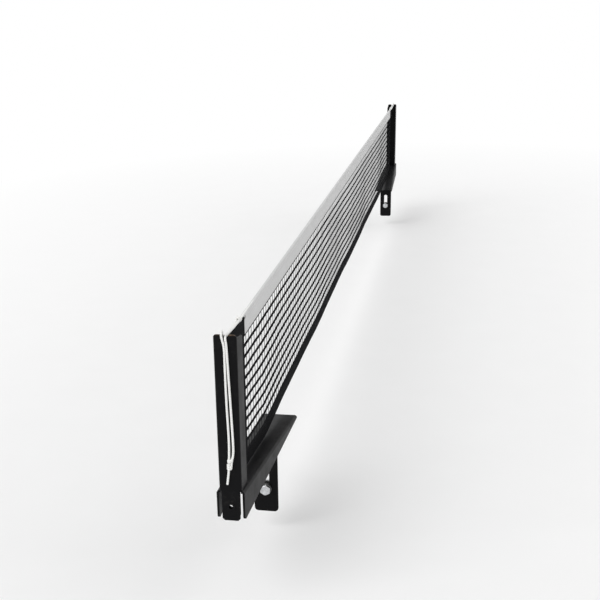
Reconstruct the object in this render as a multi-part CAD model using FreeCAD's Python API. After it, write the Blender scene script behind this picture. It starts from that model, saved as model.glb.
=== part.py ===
import FreeCAD, Part
import math
import os

# Table tennis net held at its two ends by bolt-on clamps. Each clamp is a sheet steel post on a sloping arm,
# with a slotted leaf hanging under the arm that slides upright on one bolt. Millimetres.
# The origin is the middle of the net at playing level. Y runs along the net, X across it and Z up.
# A clamp is drawn at the near end with the post's outer face at Y = 0 and Y growing inwards,
# then it is moved to its end of the net. The far clamp is the same one turned half a turn about Z.

# Net
NET_SPAN = 1830.0
NET_HEIGHT = 152.5
TAPE_HEIGHT = 20.0
TAPE_THICKNESS = 1.6
TAPE_START = 75.0
BEAD_RADIUS = 2.0
CORD_DIAMETER = 2.0
CORD_FACETS = 6
TUNNEL_CLEARANCE = 0.3
MESH_START = 70.0
MESH_THICKNESS = 1.0
MESH_ROWS = 5
MESH_COLUMNS = 44
STRAND_WIDTH = 1.6
HEM_HEIGHT = 12.0
HEM_THICKNESS = 1.8
HEM_LEVEL = 1.0
HEM_CLEARANCE = 1.2
END_BAND_WIDTH = 8.0
END_BAND_THICKNESS = 2.4
CORNER_PATCH_THICKNESS = 1.2
CORNER_PATCH_GAP = 6.5
CORNER_PATCH_CORD_GAP = 1.1

# Post
POST_WIDTH = 20.0
POST_DEPTH = 22.5
POST_WALL = 1.5
POST_BEND = 2.0
POST_RISE = 4.0
SHOULDER_RADIUS = 3.0
FLANGE_FALL = 4.0
NOTCH_CENTRE = 0.6
NOTCH_RADIUS = 1.5
NOTCH_DEPTH = 3.4
NOTCH_MOUTH = 6.0
TONGUE_DROP = 14.0
TONGUE_CORNER = 2.0

# Arm
ARM_LENGTH = 237.0
ARM_WALL = 2.0
ARM_BEND = 2.6
ARM_FRONT_WIDTH = 25.0
ARM_TIP_WIDTH = 39.4
ARM_FRONT_HEIGHT = 27.5
ARM_TIP_LIP = 0.2
ARM_FOOT_DROP = 12.8
ARM_TOE_RADIUS = 4.0
LUG_WIDTH = 16.0
LUG_RELIEF = 1.2
LUG_FOOT = 8.5

# Rivet that joins the post to the arm
RIVET_LEVEL = -0.5
RIVET_RADIUS = 2.7
RIVET_BORE = 2.0
RIVET_RIM = 3.7
RIVET_RIM_HEIGHT = 0.7
RIVET_CLEARANCE = 0.05

# Angle with the slotted leaf, under the arm
TAB_FACE = 155.5
TAB_WIDTH = 24.8
TAB_WALL = 2.0
TAB_BEND = 2.8
TAB_LEG = 22.0
TAB_FOOT_MARGIN = 19.0
TAB_CORNER = 4.0
SLOT_WIDTH = 7.0
SLOT_RAISE = 3.5
SLOT_LOWER = 20.5

# Bolt, washers and nut
BOLT_LEVEL = -59.0
BOLT_DIAMETER = 6.0
BOLT_LENGTH = 16.0
BOLT_TIP_CHAMFER = 0.6
HEAD_FLATS = 10.0
HEAD_HEIGHT = 4.0
NUT_HEIGHT = 5.0
HEX_CHAMFER = 1.0
HEX_TURN = 27.0
NUT_CLEARANCE = 0.05
WASHER_DIAMETER = 12.0
WASHER_THICKNESS = 1.6
WASHER_BORE = 6.4
FACE_GAP = 0.1
PLATE_THICKNESS = 3.0

# Knots in the tie cord
KNOT_FACETS = 10
KNOT_HALF_WIDTH = 3.2
KNOT_HALF_DEPTH = 2.3
KNOT_HEIGHT = 5.0
LOWER_KNOT_HALF_WIDTH = 2.9
LOWER_KNOT_HEIGHT = 4.8
LOWER_KNOT_SHIFT = 0.5
KNOT_BEVEL = 0.5
KNOT_LEVEL = 39.5
KNOT_CENTRE = 1.7
KNOT_STANDOFF = 2.7
WAY_FACETS = 8
NET_KNOT_RADIUS = 2.8
NET_KNOT_LENGTH = 5.0
NET_KNOT_PLACE = 51.0
NET_KNOT_LIFT = 0.9
NET_KNOT_SIDE = 0.7
CORD_STANDOFF = 1.5
CORD_CLEAR = 0.6
CORD_TURN = 60.0
KNOT_CLEARANCE = 0.25
KNOT_OPENING = 1.5

# Worked out from the sizes above
HALF_SPAN = NET_SPAN / 2
CORD_RADIUS = CORD_DIAMETER / 2
TAPE_FOOT = NET_HEIGHT - TAPE_HEIGHT
CORD_LEVEL = NET_HEIGHT - BEAD_RADIUS
POST_TOP = NET_HEIGHT + POST_RISE
NOTCH_FLOOR = POST_TOP - NOTCH_DEPTH
SADDLE_LEVEL = NOTCH_FLOOR + CORD_RADIUS + CORD_CLEAR
ARM_FOOT = -ARM_FOOT_DROP
ARM_FRONT_TOP = ARM_FOOT + ARM_FRONT_HEIGHT
ARM_TIP_HEIGHT = ARM_BEND + ARM_TIP_LIP
ARM_FALL = (ARM_FRONT_HEIGHT - ARM_TIP_HEIGHT) / ARM_LENGTH
ARM_SPREAD = (ARM_TIP_WIDTH - ARM_FRONT_WIDTH) / 2 / ARM_LENGTH
FALL_ANGLE = math.atan(ARM_FALL)
SLOT_FOOT = BOLT_LEVEL - SLOT_RAISE
SLOT_HEAD = BOLT_LEVEL + SLOT_LOWER
TAB_FOOT = SLOT_FOOT - SLOT_WIDTH / 2 - TAB_FOOT_MARGIN
THROUGH = ARM_LENGTH + NET_HEIGHT


def vec(x, y, z):
    return FreeCAD.Vector(x, y, z)


def box(low, high):
    """Block between two opposite corners."""
    size = [b - a for a, b in zip(low, high)]
    return Part.makeBox(size[0], size[1], size[2], vec(*low))


def line(a, b):
    return Part.LineSegment(a, b).toShape()


def arc(a, middle, b):
    return Part.Arc(a, middle, b).toShape()


def face_of(edges):
    return Part.Face(Part.Wire(edges))


def polygon_yz(points, x):
    """Flat face at one X from its (y, z) corners."""
    corners = [vec(x, y, z) for y, z in points]
    return Part.Face(Part.makePolygon(corners + corners[:1]))


def plate_yz(points, thickness):
    """Plate of a (y, z) outline, half its thickness each side of the net's plane."""
    return polygon_yz(points, -thickness / 2).extrude(vec(thickness, 0, 0))


def rod_y(radius, x, z, start, end):
    return Part.makeCylinder(radius, end - start, vec(x, start, z), vec(0, 1, 0))


def arm_half_width(y):
    return ARM_FRONT_WIDTH / 2 + ARM_SPREAD * y


def arm_top(y):
    """Level of the arm's sloping top, y from the post's outer face."""
    return ARM_FRONT_TOP - ARM_FALL * y


def hem_foot(y):
    """Level of the net's lower edge: it lifts beside the post to clear the arm."""
    return max(HEM_LEVEL, arm_top(y) + HEM_CLEARANCE)


# Arm


def arm_side():
    """One side of the channel, from its foot to the start of the bend at the top."""
    far = ARM_LENGTH
    near_x = arm_half_width(0)
    far_x = arm_half_width(far)
    corners = [vec(near_x, 0, ARM_FOOT), vec(far_x, far, ARM_FOOT), vec(far_x, far, arm_top(far) - ARM_BEND),
               vec(near_x, 0, arm_top(0) - ARM_BEND)]
    outline = Part.Face(Part.makePolygon(corners + corners[:1]))
    return outline.extrude(vec(-ARM_WALL, 0, 0))


def arm_edge():
    """Round bend between one side and the top, carried along the channel's edge."""
    inner = ARM_BEND - ARM_WALL
    x = arm_half_width(0) - ARM_BEND
    z = arm_top(0) - ARM_BEND
    diagonal = math.sqrt(0.5)

    def at(radius, across, up):
        return vec(x + radius * across, 0, z + radius * up)

    section = face_of([
        arc(at(ARM_BEND, 1, 0), at(ARM_BEND, diagonal, diagonal), at(ARM_BEND, 0, 1)),
        line(at(ARM_BEND, 0, 1), at(inner, 0, 1)),
        arc(at(inner, 0, 1), at(inner, diagonal, diagonal), at(inner, 1, 0)),
        line(at(inner, 1, 0), at(ARM_BEND, 1, 0)),
    ])
    along = vec(arm_half_width(ARM_LENGTH) - arm_half_width(0), ARM_LENGTH, arm_top(ARM_LENGTH) - arm_top(0))
    return section.extrude(along)


def arm_deck():
    """Sloping top of the channel, between its two bends."""
    near_x = arm_half_width(0) - ARM_BEND
    far_x = arm_half_width(ARM_LENGTH) - ARM_BEND
    corners = [vec(-near_x, 0, arm_top(0)), vec(near_x, 0, arm_top(0)), vec(far_x, ARM_LENGTH, arm_top(ARM_LENGTH)),
               vec(-far_x, ARM_LENGTH, arm_top(ARM_LENGTH))]
    return Part.Face(Part.makePolygon(corners + corners[:1])).extrude(vec(0, 0, -ARM_WALL))


def lug():
    """Front of the arm's top turned down behind the tongue, in the same sheet."""
    centre_y = POST_WALL + ARM_BEND
    normal = (math.sin(FALL_ANGLE), math.cos(FALL_ANGLE))
    centre_z = arm_top(centre_y + ARM_BEND * normal[0]) - ARM_BEND * normal[1]
    turn = (math.pi / 2 - FALL_ANGLE + math.pi) / 2
    x = -LUG_WIDTH / 2

    def on_bend(radius, angle):
        return vec(x, centre_y + radius * math.cos(angle), centre_z + radius * math.sin(angle))

    inner = ARM_BEND - ARM_WALL
    foot = RIVET_LEVEL - LUG_FOOT
    top_outer = on_bend(ARM_BEND, math.pi / 2 - FALL_ANGLE)
    top_inner = on_bend(inner, math.pi / 2 - FALL_ANGLE)
    front_outer = on_bend(ARM_BEND, math.pi)
    front_inner = on_bend(inner, math.pi)
    foot_outer = vec(x, POST_WALL, foot)
    foot_inner = vec(x, POST_WALL + ARM_WALL, foot)
    profile = face_of([
        line(foot_outer, front_outer),
        arc(front_outer, on_bend(ARM_BEND, turn), top_outer),
        line(top_outer, top_inner),
        arc(top_inner, on_bend(inner, turn), front_inner),
        line(front_inner, foot_inner),
        line(foot_inner, foot_outer),
    ])
    notch_half = LUG_WIDTH / 2 + LUG_RELIEF
    reach = ARM_FRONT_HEIGHT
    notch_outline = [
        (-reach, centre_z),
        (centre_y, centre_z),
        (centre_y + reach * normal[0], centre_z + reach * normal[1]),
        (-reach, centre_z + reach),
    ]
    notch = polygon_yz(notch_outline, -notch_half).extrude(vec(2 * notch_half, 0, 0))
    return profile.extrude(vec(LUG_WIDTH, 0, 0)), notch


def rivet_hole():
    """Waste of the rivet's hole: it goes through tongue and lug and ends before the arm's sloping top."""
    return rod_y(RIVET_RADIUS + RIVET_CLEARANCE, 0, RIVET_LEVEL, -THROUGH, POST_DEPTH)


def toe_rounding(y, inward):
    """Waste outside the rounded lower corner of the sides at one end of the arm."""
    r = ARM_TOE_RADIUS
    k = r * (1 - math.sqrt(0.5))
    x = -ARM_TIP_WIDTH
    corner = vec(x, y, ARM_FOOT)
    along = vec(x, y + inward * r, ARM_FOOT)
    up = vec(x, y, ARM_FOOT + r)
    middle = vec(x, y + inward * k, ARM_FOOT + k)
    waste = face_of([line(corner, along), arc(along, middle, up), line(up, corner)])
    return waste.extrude(vec(2 * ARM_TIP_WIDTH, 0, 0))


def arm():
    """Inverted channel that widens and falls from the post to a thin tip."""
    half = arm_side().fuse(arm_edge())
    other = half.mirror(vec(0, 0, 0), vec(1, 0, 0))
    channel = arm_deck().fuse(half).fuse(other)
    turned, notch = lug()
    sheet = channel.cut(notch).fuse(turned)
    return sheet.cut(rivet_hole()).cut(toe_rounding(0, 1)).removeSplitter()


# Post


def post_section(z):
    """Open channel section: the web outside, two flanges towards the net."""
    half = POST_WIDTH / 2
    r = POST_BEND
    ri = POST_BEND - POST_WALL
    k = r * (1 - math.sqrt(0.5))
    ki = ri * (1 - math.sqrt(0.5))
    w = POST_WALL
    edges = [
        line(vec(-half, POST_DEPTH, z), vec(-half, r, z)),
        arc(vec(-half, r, z), vec(-half + k, k, z), vec(-half + r, 0, z)),
        line(vec(-half + r, 0, z), vec(half - r, 0, z)),
        arc(vec(half - r, 0, z), vec(half - k, k, z), vec(half, r, z)),
        line(vec(half, r, z), vec(half, POST_DEPTH, z)),
        line(vec(half, POST_DEPTH, z), vec(half - w, POST_DEPTH, z)),
        line(vec(half - w, POST_DEPTH, z), vec(half - w, r, z)),
        arc(vec(half - w, r, z), vec(half - w - ki, w + ki, z), vec(half - r, w, z)),
        line(vec(half - r, w, z), vec(-half + r, w, z)),
        arc(vec(-half + r, w, z), vec(-half + w + ki, w + ki, z), vec(-half + w, r, z)),
        line(vec(-half + w, r, z), vec(-half + w, POST_DEPTH, z)),
        line(vec(-half + w, POST_DEPTH, z), vec(-half, POST_DEPTH, z)),
    ]
    return face_of(edges)


def below_arm_top():
    """Everything under the arm's sloping top, so that the flanges stand on it."""
    reach = THROUGH
    outline = [(-reach, -reach), (reach, -reach), (reach, arm_top(reach)), (-reach, arm_top(-reach))]
    return polygon_yz(outline, -reach).extrude(vec(2 * reach, 0, 0))


def shoulder_waste(side):
    """Waste outside the rounded top corner on one side, cut through web and flange."""
    half = POST_WIDTH / 2
    r = SHOULDER_RADIUS
    k = r * (1 - math.sqrt(0.5))
    corner = vec(side * half, -1, POST_TOP)
    inward = vec(side * (half - r), -1, POST_TOP)
    down = vec(side * half, -1, POST_TOP - r)
    middle = vec(side * (half - k), -1, POST_TOP - k)
    waste = face_of([line(corner, inward), arc(inward, middle, down), line(down, corner)])
    return waste.extrude(vec(0, POST_DEPTH + 2, 0))


def flange_top_waste():
    """Waste above the flanges, which fall away from the web."""
    top = POST_TOP - SHOULDER_RADIUS
    outline = [(POST_BEND, POST_TOP + 1), (POST_BEND, top), (POST_DEPTH + 1, top - FLANGE_FALL),
               (POST_DEPTH + 1, POST_TOP + 1)]
    return polygon_yz(outline, -POST_WIDTH).extrude(vec(2 * POST_WIDTH, 0, 0))


def cord_notch():
    """V with a round floor in the web's top edge, where the cord is hooked over."""
    centre = NOTCH_FLOOR + NOTCH_RADIUS
    half = NOTCH_MOUTH / 2
    floor = rod_y(NOTCH_RADIUS, NOTCH_CENTRE, centre, -1, POST_WALL + 1)
    mouth = [(NOTCH_CENTRE - NOTCH_RADIUS, centre), (NOTCH_CENTRE + NOTCH_RADIUS, centre),
             (NOTCH_CENTRE + half, POST_TOP + 1), (NOTCH_CENTRE - half, POST_TOP + 1)]
    corners = [vec(x, -1, z) for x, z in mouth]
    v_shape = Part.Face(Part.makePolygon(corners + corners[:1])).extrude(vec(0, POST_WALL + 2, 0))
    return floor.fuse(v_shape)


def tongue():
    """Flat foot of the web that hangs in front of the arm."""
    half = POST_WIDTH / 2 - POST_BEND
    c = TONGUE_CORNER
    foot = -TONGUE_DROP
    outline = [(-half, ARM_FRONT_TOP + c), (-half, foot + c), (-half + c, foot), (half - c, foot),
               (half, foot + c), (half, ARM_FRONT_TOP + c)]
    corners = [vec(x, 0, z) for x, z in outline]
    return Part.Face(Part.makePolygon(corners + corners[:1])).extrude(vec(0, POST_WALL, 0))


def post():
    """Channel that carries the net's end, standing on the arm and riveted to its lug."""
    foot = arm_top(POST_DEPTH) - 1
    channel = post_section(foot).extrude(vec(0, 0, POST_TOP - foot))
    channel = channel.cut(below_arm_top())
    channel = channel.cut(flange_top_waste())
    for side in (-1, 1):
        channel = channel.cut(shoulder_waste(side))
    channel = channel.cut(cord_notch())
    return channel.fuse(tongue()).cut(rivet_hole()).removeSplitter()


def rivet():
    """Hollow rivet through the tongue and the lug, with a rim rolled over at each face."""
    grip = POST_WALL + ARM_WALL
    shank = rod_y(RIVET_RADIUS, 0, RIVET_LEVEL, 0, grip)
    rims = [rod_y(RIVET_RIM, 0, RIVET_LEVEL, -RIVET_RIM_HEIGHT, 0),
            rod_y(RIVET_RIM, 0, RIVET_LEVEL, grip, grip + RIVET_RIM_HEIGHT)]
    solid = shank.fuse(rims[0]).fuse(rims[1])
    return solid.cut(rod_y(RIVET_BORE, 0, RIVET_LEVEL, -THROUGH, THROUGH))


# Angle with the slotted leaf


def angle_section():
    """L section: the leaf hangs upright, the leg lies along the underside of the arm's top."""
    r = TAB_BEND
    ri = TAB_BEND - TAB_WALL
    x = -TAB_WIDTH / 2
    normal_y = math.sin(FALL_ANGLE)
    normal_z = math.cos(FALL_ANGLE)
    # the bend's centre lies one outer radius from the leaf's face and from the underside of the arm's top
    cy = TAB_FACE + r
    cz = arm_top(cy + r * normal_y) - ARM_WALL - r * normal_z
    leg_angle = math.pi / 2 - FALL_ANGLE
    middle_angle = (leg_angle + math.pi) / 2

    def on_bend(radius, angle):
        return vec(x, cy + radius * math.cos(angle), cz + radius * math.sin(angle))

    leg = vec(0, TAB_LEG * normal_z, -TAB_LEG * normal_y)
    foot_outer = vec(x, TAB_FACE, TAB_FOOT)
    foot_inner = vec(x, TAB_FACE + TAB_WALL, TAB_FOOT)
    return face_of([
        line(foot_outer, on_bend(r, math.pi)),
        arc(on_bend(r, math.pi), on_bend(r, middle_angle), on_bend(r, leg_angle)),
        line(on_bend(r, leg_angle), on_bend(r, leg_angle) + leg),
        line(on_bend(r, leg_angle) + leg, on_bend(ri, leg_angle) + leg),
        line(on_bend(ri, leg_angle) + leg, on_bend(ri, leg_angle)),
        arc(on_bend(ri, leg_angle), on_bend(ri, middle_angle), on_bend(ri, math.pi)),
        line(on_bend(ri, math.pi), foot_inner),
        line(foot_inner, foot_outer),
    ])


def leaf_corner(side):
    """Waste outside one rounded lower corner of the leaf."""
    r = TAB_CORNER
    k = r * (1 - math.sqrt(0.5))
    x = side * TAB_WIDTH / 2
    y = TAB_FACE - 1
    corner = vec(x, y, TAB_FOOT)
    inward = vec(x - side * r, y, TAB_FOOT)
    up = vec(x, y, TAB_FOOT + r)
    middle = vec(x - side * k, y, TAB_FOOT + k)
    waste = face_of([line(corner, inward), arc(inward, middle, up), line(up, corner)])
    return waste.extrude(vec(0, TAB_WALL + 2, 0))


def slot():
    """Upright slot through the leaf."""
    r = SLOT_WIDTH / 2
    start = TAB_FACE - 1
    end = TAB_FACE + TAB_WALL + 1
    ends = [rod_y(r, 0, z, start, end) for z in (SLOT_FOOT, SLOT_HEAD)]
    middle = box((-r, start, SLOT_FOOT), (r, end, SLOT_HEAD))
    return ends[0].fuse(ends[1]).fuse(middle)


def mount_angle():
    """Slotted angle welded under the arm's top."""
    blank = angle_section().extrude(vec(TAB_WIDTH, 0, 0))
    for side in (-1, 1):
        blank = blank.cut(leaf_corner(side))
    return blank.cut(slot()).removeSplitter()


# Bolt, washers and nut


def hexagon(y, height, outward):
    """Hexagonal block along Y, bevelled at the corners of its outer face: outward is -1 or 1."""
    radius = HEAD_FLATS / math.sqrt(3)
    angles = [math.radians(60 * i + HEX_TURN) for i in range(7)]
    corners = [vec(radius * math.cos(a), y, radius * math.sin(a)) for a in angles]
    block = Part.Face(Part.makePolygon(corners)).extrude(vec(0, height, 0))
    inner = y if outward > 0 else y + height
    outer = y + height if outward > 0 else y
    wide = radius + 1
    sloped = outer - outward * (HEX_CHAMFER + 1) * math.tan(math.radians(30))
    outline = [vec(0, outer, 0), vec(radius - HEX_CHAMFER, outer, 0), vec(wide, sloped, 0), vec(wide, inner, 0),
               vec(0, inner, 0)]
    turned = Part.Face(Part.makePolygon(outline + outline[:1])).revolve(vec(0, 0, 0), vec(0, 1, 0), 360)
    return block.common(turned)


def to_bolt(shape):
    return shape.translated(vec(0, 0, BOLT_LEVEL))


def washer(y):
    disc = rod_y(WASHER_DIAMETER / 2, 0, 0, y, y + WASHER_THICKNESS)
    return to_bolt(disc.cut(rod_y(WASHER_BORE / 2, 0, 0, -THROUGH, THROUGH)))


def bolt():
    """Hexagon bolt that enters from outside, through the slot."""
    seat = TAB_FACE - FACE_GAP - WASHER_THICKNESS
    shank = rod_y(BOLT_DIAMETER / 2, 0, 0, seat, seat + BOLT_LENGTH)
    tip = [e for e in shank.Edges if isinstance(e.Curve, Part.Circle) and e.BoundBox.YMin > seat + 1]
    shank = shank.makeChamfer(BOLT_TIP_CHAMFER, tip)
    return to_bolt(hexagon(seat - HEAD_HEIGHT, HEAD_HEIGHT, -1).fuse(shank))


def back_face():
    """Y where the rear washer bears on the plate that the clamp is bolted to."""
    return TAB_FACE + TAB_WALL + PLATE_THICKNESS


def washers():
    return [washer(TAB_FACE - FACE_GAP - WASHER_THICKNESS), washer(back_face())]


def nut():
    block = hexagon(back_face() + WASHER_THICKNESS, NUT_HEIGHT, 1)
    return to_bolt(block.cut(rod_y(BOLT_DIAMETER / 2 + NUT_CLEARANCE, 0, 0, -THROUGH, THROUGH)))


# Net, drawn once in the net's own plane, from end to end


def mirrored(points):
    """Outline points of the near half, (distance from the post, z), and the same at the far half."""
    near = [(d - HALF_SPAN, z) for d, z in points]
    far = [(-y, z) for y, z in reversed(near)]
    return near, far


def cord_line(y):
    """Level of the cord's middle between the post's notch and its turn beside the tape."""
    return CORD_LEVEL + (SADDLE_LEVEL - CORD_LEVEL) * (CORD_TURN - y) / CORD_TURN


def lift_end():
    """Distance from the post where the lower edge comes down to its level."""
    return (ARM_FRONT_TOP + HEM_CLEARANCE - HEM_LEVEL) / ARM_FALL


def tape():
    """White band folded over the cord, with the fold as a round bead along its top."""
    half = TAPE_THICKNESS / 2
    y = TAPE_START - HALF_SPAN
    neck = CORD_LEVEL - math.sqrt(BEAD_RADIUS ** 2 - half ** 2)
    outline = [
        line(vec(half, y, TAPE_FOOT), vec(-half, y, TAPE_FOOT)),
        line(vec(-half, y, TAPE_FOOT), vec(-half, y, neck)),
        arc(vec(-half, y, neck), vec(0, y, NET_HEIGHT), vec(half, y, neck)),
        line(vec(half, y, neck), vec(half, y, TAPE_FOOT)),
    ]
    band = face_of(outline).extrude(vec(0, -2 * y, 0))
    return band.cut(rod_y(CORD_RADIUS + TUNNEL_CLEARANCE, 0, CORD_LEVEL, -NET_SPAN, NET_SPAN))


def mesh():
    """Net panel: one sheet with a grid of gaps. Gaps beside the lifted corners are cut shorter."""
    reach = HALF_SPAN - MESH_START
    start = [(MESH_START, TAPE_FOOT), (MESH_START, hem_foot(MESH_START) + HEM_HEIGHT),
             (lift_end(), HEM_LEVEL + HEM_HEIGHT)]
    near, far = mirrored(start)
    sheet = polygon_yz(near + far, -MESH_THICKNESS / 2)
    pitch_y = (2 * reach - STRAND_WIDTH) / MESH_COLUMNS
    low = HEM_LEVEL + HEM_HEIGHT
    pitch_z = (TAPE_FOOT - low - STRAND_WIDTH) / MESH_ROWS
    gaps = []
    for column in range(MESH_COLUMNS):
        y0 = -reach + STRAND_WIDTH + column * pitch_y
        y1 = y0 + pitch_y - STRAND_WIDTH
        floors = [hem_foot(HALF_SPAN - abs(y)) + HEM_HEIGHT + STRAND_WIDTH for y in (y0, y1)]
        for row in range(MESH_ROWS):
            z0 = low + STRAND_WIDTH + row * pitch_z
            z1 = z0 + pitch_z - STRAND_WIDTH
            corners = [(y0, z1), (y1, z1), (y1, max(z0, floors[1])), (y0, max(z0, floors[0]))]
            points = [vec(-MESH_THICKNESS / 2, y, z) for y, z in corners]
            gaps.append(Part.makePolygon(points + points[:1]))
    holed = Part.Face([sheet.OuterWire] + gaps)
    return holed.extrude(vec(MESH_THICKNESS, 0, 0))


def lower_hem():
    """Black band along the net's lower edge."""
    start = MESH_START - END_BAND_WIDTH
    top = [(start, hem_foot(start) + HEM_HEIGHT), (lift_end(), HEM_LEVEL + HEM_HEIGHT)]
    foot = [(start, hem_foot(start)), (lift_end(), HEM_LEVEL)]
    top_near, top_far = mirrored(top)
    foot_near, foot_far = mirrored(foot)
    outline = top_near + top_far + list(reversed(foot_far)) + list(reversed(foot_near))
    return plate_yz(outline, HEM_THICKNESS)


def end_band():
    """Upright band sewn round the mesh's end, in the clamp's place."""
    a = MESH_START - END_BAND_WIDTH
    b = MESH_START
    outline = [(a, hem_foot(a) + HEM_HEIGHT), (b, hem_foot(b) + HEM_HEIGHT), (b, TAPE_FOOT), (a, TAPE_FOOT)]
    return plate_yz(outline, END_BAND_THICKNESS)


def corner_patch():
    """Webbing that carries the tape on into the post's channel, under the cord."""
    a = POST_WALL + CORNER_PATCH_GAP
    b = TAPE_START
    below = CORD_RADIUS + CORNER_PATCH_CORD_GAP

    outline = [(a, TAPE_FOOT), (b, TAPE_FOOT), (b, CORD_LEVEL - below), (CORD_TURN, CORD_LEVEL - below),
               (a, cord_line(a) - below)]
    return plate_yz(outline, CORNER_PATCH_THICKNESS)


# Tie cord and its knots


def tube(name, points, radius):
    """Round cord along straight runs, with an arc at each point as large as its two runs allow."""
    points = [vec(*p) for p in points]
    edges = []
    radii = []
    last = points[0]
    for before, corner, after in zip(points, points[1:], points[2:]):
        u = (before - corner).normalize()
        v = (after - corner).normalize()
        half_turn = (math.pi - u.getAngle(v)) / 2
        cut = 0.45 * min((before - corner).Length, (after - corner).Length)
        bend = cut / math.tan(half_turn)
        radii.append(bend)
        start = corner + u * cut
        end = corner + v * cut
        middle_line = (u + v).normalize()
        centre = corner + middle_line * (bend / math.cos(half_turn))
        middle = centre - middle_line * bend
        edges.append(line(last, start))
        edges.append(arc(start, middle, end))
        last = end
    edges.append(line(last, points[-1]))
    path = Part.Wire(edges)
    direction = (points[1] - points[0]).normalize()
    side = direction.cross(vec(1, 0, 0)).normalize()
    up = direction.cross(side)
    turns = [2 * math.pi * i / CORD_FACETS for i in range(CORD_FACETS)]
    ring = [points[0] + side * (radius * math.cos(t)) + up * (radius * math.sin(t)) for t in turns]
    solid = path.makePipeShell([Part.makePolygon(ring + ring[:1])], True, False)
    expected = CORD_FACETS / 2 * math.sin(2 * math.pi / CORD_FACETS) * radius ** 2 * path.Length
    print(name, "length %.1f" % path.Length, "least radius %.1f" % min(radii),
          "volume ratio %.4f" % (solid.Volume / expected))
    print("  radii", " ".join("%.1f" % r for r in radii))
    return solid


def net_cord_points():
    """Near end of the net's cord: from beside the tape over the notch, down the web and into the knot."""
    front = -CORD_STANDOFF
    deep = -KNOT_STANDOFF
    return [
        (0.0, CORD_TURN, CORD_LEVEL),
        (NOTCH_CENTRE - 0.1, 5.0, SADDLE_LEVEL - 0.1),
        (NOTCH_CENTRE, front - 0.2, SADDLE_LEVEL + 0.2),
        (NOTCH_CENTRE + 0.7, front - 0.1, SADDLE_LEVEL - 6.3),
        (NOTCH_CENTRE + 1.4, front, SADDLE_LEVEL - 18.5),
        (KNOT_CENTRE + 2.8, front, KNOT_LEVEL + 17.5),
        (KNOT_CENTRE + 2.7, deep + 0.3, KNOT_LEVEL + 4.5),
        (KNOT_CENTRE + 0.95, deep, KNOT_LEVEL - 1.3),
        (KNOT_CENTRE + 0.8, deep, KNOT_LEVEL - 6.1),
    ]


def tie_cord_points():
    """From the knot at the net, up inside the channel, over the web beside the notch and down to a tail."""
    front = -CORD_STANDOFF
    inside = POST_WALL + CORD_STANDOFF
    crest = POST_TOP + CORD_RADIUS + 1.9
    deep = -KNOT_STANDOFF
    left = NOTCH_CENTRE - 3.1
    return [
        (left + 0.4, NET_KNOT_PLACE - 1.0, SADDLE_LEVEL - 3.1),
        (left + 0.5, 40.0, SADDLE_LEVEL - 3.8),
        (left + 0.9, 14.0, SADDLE_LEVEL - 2.4),
        (left + 0.3, inside, SADDLE_LEVEL - 0.9),
        (left, inside, crest),
        (left, front, crest),
        (left + 0.2, front - 0.1, SADDLE_LEVEL),
        (left + 1.8, front - 0.1, SADDLE_LEVEL - 8.0),
        (left + 2.15, front, SADDLE_LEVEL - 21.5),
        (KNOT_CENTRE - 0.8, front, KNOT_LEVEL + 17.5),
        (KNOT_CENTRE - 0.95, deep, KNOT_LEVEL + 6.5),
        (KNOT_CENTRE - 1.4, deep, KNOT_LEVEL - 8.1),
        (KNOT_CENTRE - 3.1, deep + 0.5, KNOT_LEVEL - 21.0),
    ]


def ring(half_x, half_y, z):
    """Faceted oval outline about Z at one level."""
    turns = [2 * math.pi * i / KNOT_FACETS for i in range(KNOT_FACETS)]
    corners = [vec(half_x * math.cos(t), half_y * math.sin(t), z) for t in turns]
    return Part.makePolygon(corners + corners[:1])


def barrel(half_x, half_y, length):
    """Knot form about Z: a short faceted drum that narrows at both ends, centred on the origin."""
    half = length / 2
    b = KNOT_BEVEL
    levels = [(b, -half), (0, -half + b), (0, half - b), (b, half)]
    return Part.makeLoft([ring(half_x - inset, half_y - inset, z) for inset, z in levels], True, True)


def way(a, b, before=0.0, after=0.0):
    """Straight faceted hole for a cord between two points, wider by the knot's clearance and longer at each end."""
    along = (vec(*b) - vec(*a)).normalize()
    start = vec(*a) - along * before
    run = vec(*b) + along * after - start
    side = along.cross(vec(1, 0, 0)).normalize()
    up = along.cross(side)
    radius = (CORD_RADIUS + KNOT_CLEARANCE) / math.cos(math.pi / WAY_FACETS)
    turns = [2 * math.pi * i / WAY_FACETS for i in range(WAY_FACETS)]
    corners = [start + side * (radius * math.cos(t)) + up * (radius * math.sin(t)) for t in turns]
    return Part.Face(Part.makePolygon(corners + corners[:1])).extrude(run)


def front_knot():
    """Double knot that ties the two cords together on the post's face."""
    upper = barrel(KNOT_HALF_WIDTH, KNOT_HALF_DEPTH, KNOT_HEIGHT)
    drop = (KNOT_HEIGHT + LOWER_KNOT_HEIGHT) / 2
    lower = barrel(LOWER_KNOT_HALF_WIDTH, KNOT_HALF_DEPTH, LOWER_KNOT_HEIGHT)
    knot = upper.fuse(lower.translated(vec(-LOWER_KNOT_SHIFT, 0, -drop)))
    knot = knot.translated(vec(KNOT_CENTRE, -KNOT_STANDOFF, KNOT_LEVEL))
    slanted, upright = net_cord_points()[-3:-1], net_cord_points()[-2:]
    tail = tie_cord_points()[-3:-1]
    for points in (slanted, upright, tail):
        knot = knot.cut(way(points[0], points[1], KNOT_OPENING, KNOT_OPENING))
    return knot


def net_knot():
    """Knot on the net's cord between the tape and the post, where the tie cord starts."""
    y = NET_KNOT_PLACE
    knot = barrel(NET_KNOT_RADIUS, NET_KNOT_RADIUS, NET_KNOT_LENGTH)
    knot.rotate(vec(0, 0, 0), vec(1, 0, 0), -90)
    knot = knot.translated(vec(-NET_KNOT_SIDE, y, cord_line(y) + NET_KNOT_LIFT))
    knot = knot.cut(way(*net_cord_points()[:2]))
    return knot.cut(way(*tie_cord_points()[:2], before=KNOT_CLEARANCE))


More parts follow.
